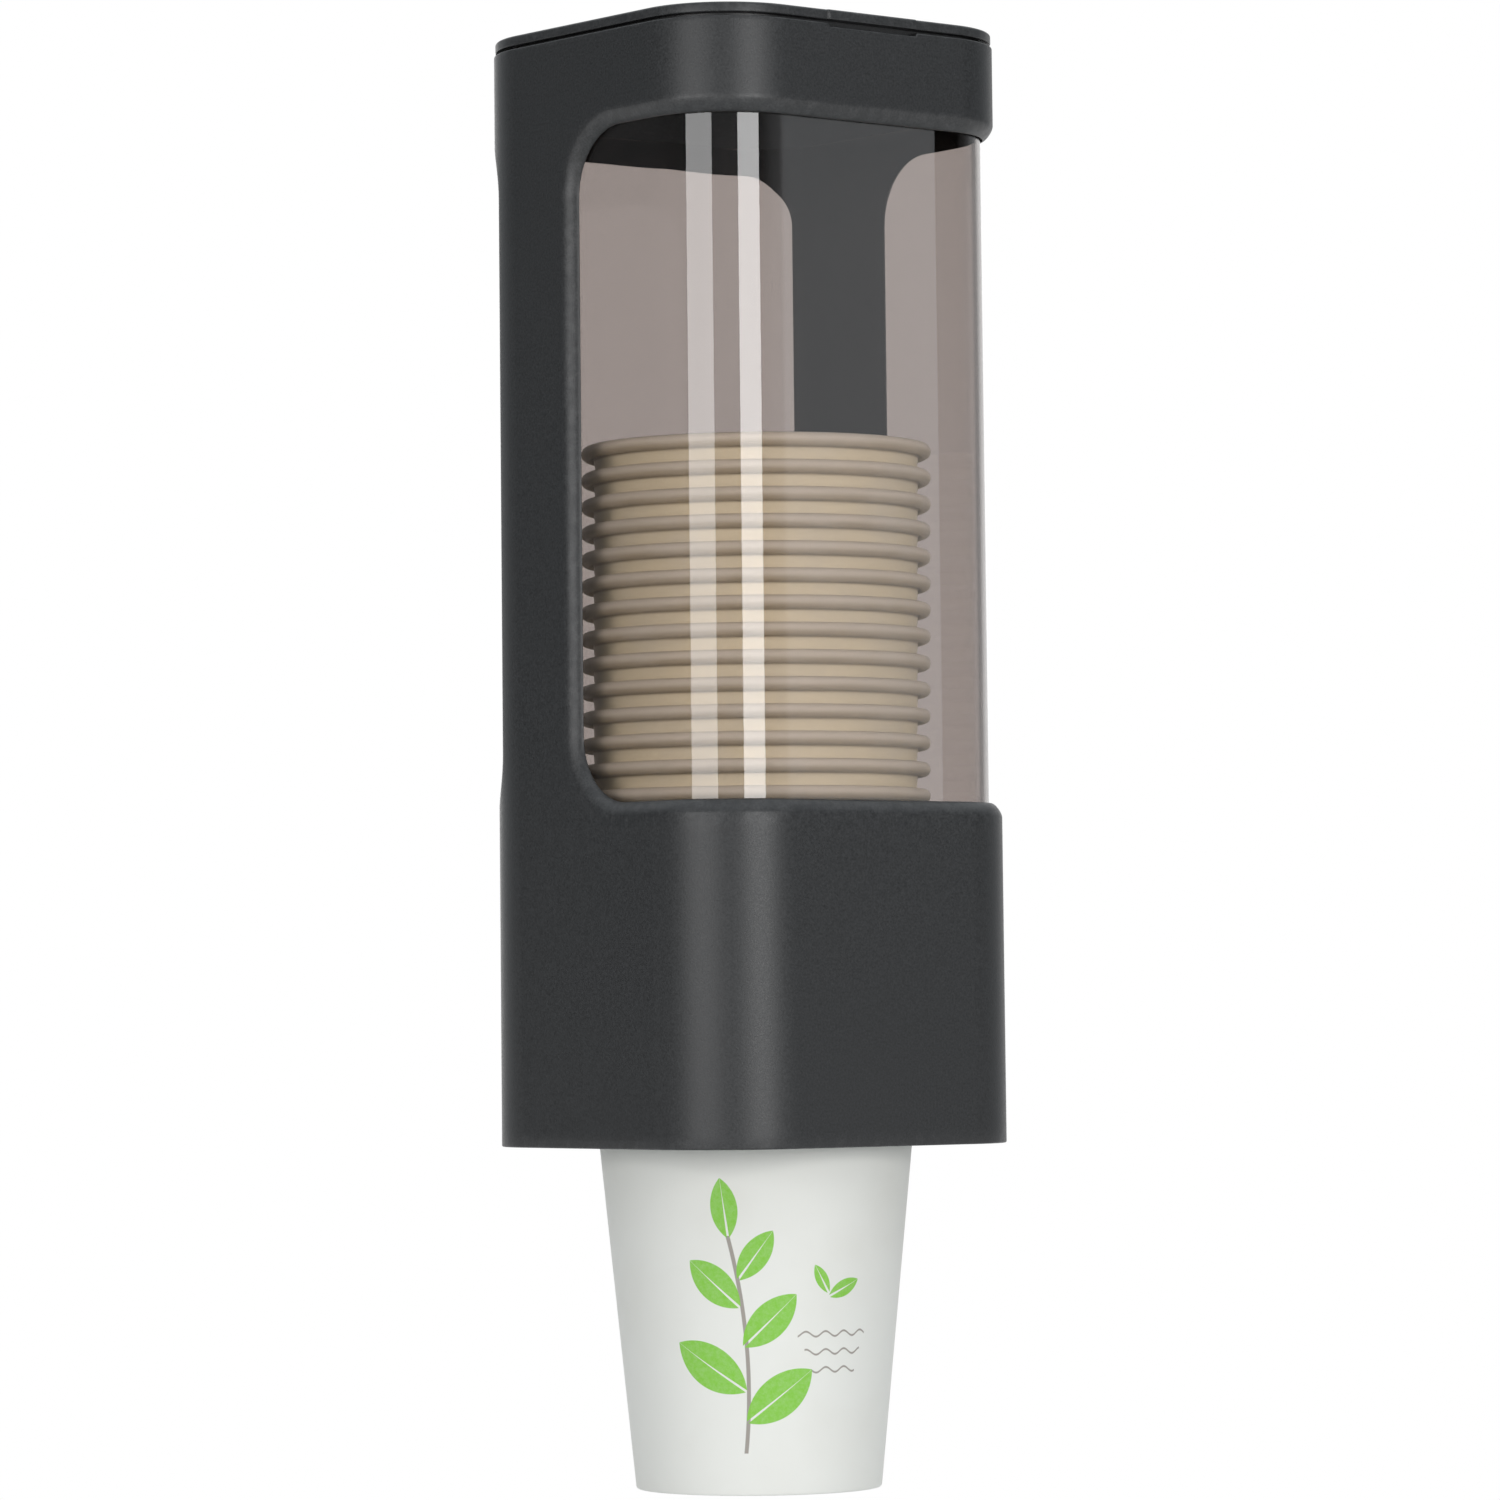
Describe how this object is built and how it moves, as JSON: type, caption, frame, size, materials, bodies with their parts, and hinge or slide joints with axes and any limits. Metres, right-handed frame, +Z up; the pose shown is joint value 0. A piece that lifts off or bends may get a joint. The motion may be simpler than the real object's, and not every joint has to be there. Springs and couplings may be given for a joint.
{
  "type": "cup dispenser",
  "caption": "Wall-hung paper cup dispenser with a smoked window, a hinged lid, adjustable holding dials at the throat and a nested stack of cups, the lowest one hanging out to be pulled.",
  "frame": {"origin": "centre of the lower foam pad's wall face, half way up the skirt", "axes": "+Z up along the housing; +Y into the wall, square to the pad's face; -Y towards the user; +X to the right of someone who faces the dispenser"},
  "size_m": [0.09, 0.09, 0.3135],
  "materials": {
    "body_plastic": "fine matte spark-eroded grain, charcoal black",
    "smoked_clear": "polished clear plastic with a warm smoke tint",
    "mechanism_plastic": "plain satin moulding, light grey",
    "tongue_rubber": "soft translucent white elastomer",
    "screw_steel": "zinc-plated steel",
    "pad_foam": "closed-cell foam tape",
    "cup_paper": "uncoated white cup board, with a green and grey print on the outside"
  },
  "bodies": {
    "housing": {"housing": "body_plastic", "window_sleeve": "smoked_clear", "throat_collar": "body_plastic", "hinge_pin_left": "screw_steel", "hinge_pin_right": "screw_steel", "wall_pad_lower": "pad_foam", "wall_pad_upper": "pad_foam", "dial_screw_front_left": "screw_steel", "dial_screw_front_right": "screw_steel", "dial_screw_rear_left": "screw_steel", "dial_screw_rear_right": "screw_steel", "collar_screw_front_left": "screw_steel", "collar_screw_front_right": "screw_steel", "collar_screw_rear_left": "screw_steel", "collar_screw_rear_right": "screw_steel"},
    "lid": {"lid": "body_plastic"},
    "next_cup": {"cup_01": "cup_paper"},
    "cup_stack": {"cup_02": "cup_paper", "cup_03": "cup_paper", "cup_04": "cup_paper", "cup_05": "cup_paper", "cup_06": "cup_paper", "cup_07": "cup_paper", "cup_08": "cup_paper", "cup_09": "cup_paper", "cup_10": "cup_paper", "cup_11": "cup_paper", "cup_12": "cup_paper", "cup_13": "cup_paper", "cup_14": "cup_paper", "cup_15": "cup_paper", "cup_16": "cup_paper", "cup_17": "cup_paper", "cup_18": "cup_paper", "cup_19": "cup_paper", "cup_20": "cup_paper", "cup_21": "cup_paper", "cup_22": "cup_paper", "cup_23": "cup_paper", "cup_24": "cup_paper", "cup_25": "cup_paper"},
    "size_dial_front_left": {"size_dial_front_left": "mechanism_plastic", "stop_tongue_front_left": "tongue_rubber"},
    "size_dial_front_right": {"size_dial_front_right": "mechanism_plastic", "stop_tongue_front_right": "tongue_rubber"},
    "size_dial_rear_left": {"size_dial_rear_left": "mechanism_plastic", "stop_tongue_rear_left": "tongue_rubber"},
    "size_dial_rear_right": {"size_dial_rear_right": "mechanism_plastic", "stop_tongue_rear_right": "tongue_rubber"}
  },
  "joints": [
    {"name": "lid_hinge", "type": "hinge", "parent": "housing", "child": "lid", "pos_m": [0, -0.006, 0.2013], "axis": [-1, 0, 0], "range_deg": [0, 92]},
    {"name": "cup_pull", "type": "slide", "parent": "housing", "child": "next_cup", "axis": [0, 0, -1], "range_m": [0, 0.1], "deforming": ["stop_tongue_front_left", "stop_tongue_front_right", "stop_tongue_rear_left", "stop_tongue_rear_right"]},
    {"name": "stack_lift", "type": "slide", "parent": "housing", "child": "cup_stack", "axis": [0, 0, 1], "range_m": [0, 0.08]},
    {"name": "dial_turn_front_left", "type": "hinge", "parent": "housing", "child": "size_dial_front_left", "pos_m": [-0.0314, -0.07775, -0.0269], "axis": [0, 0, 1], "range_deg": [0, 75]},
    {"name": "dial_turn_front_right", "type": "hinge", "parent": "housing", "child": "size_dial_front_right", "pos_m": [0.0314, -0.07775, -0.0269], "axis": [0, 0, 1], "range_deg": [0, 75]},
    {"name": "dial_turn_rear_left", "type": "hinge", "parent": "housing", "child": "size_dial_rear_left", "pos_m": [-0.0314, -0.01495, -0.0269], "axis": [0, 0, 1], "range_deg": [0, 75]},
    {"name": "dial_turn_rear_right", "type": "hinge", "parent": "housing", "child": "size_dial_rear_right", "pos_m": [0.0314, -0.01495, -0.0269], "axis": [0, 0, 1], "range_deg": [0, 75]}
  ]
}
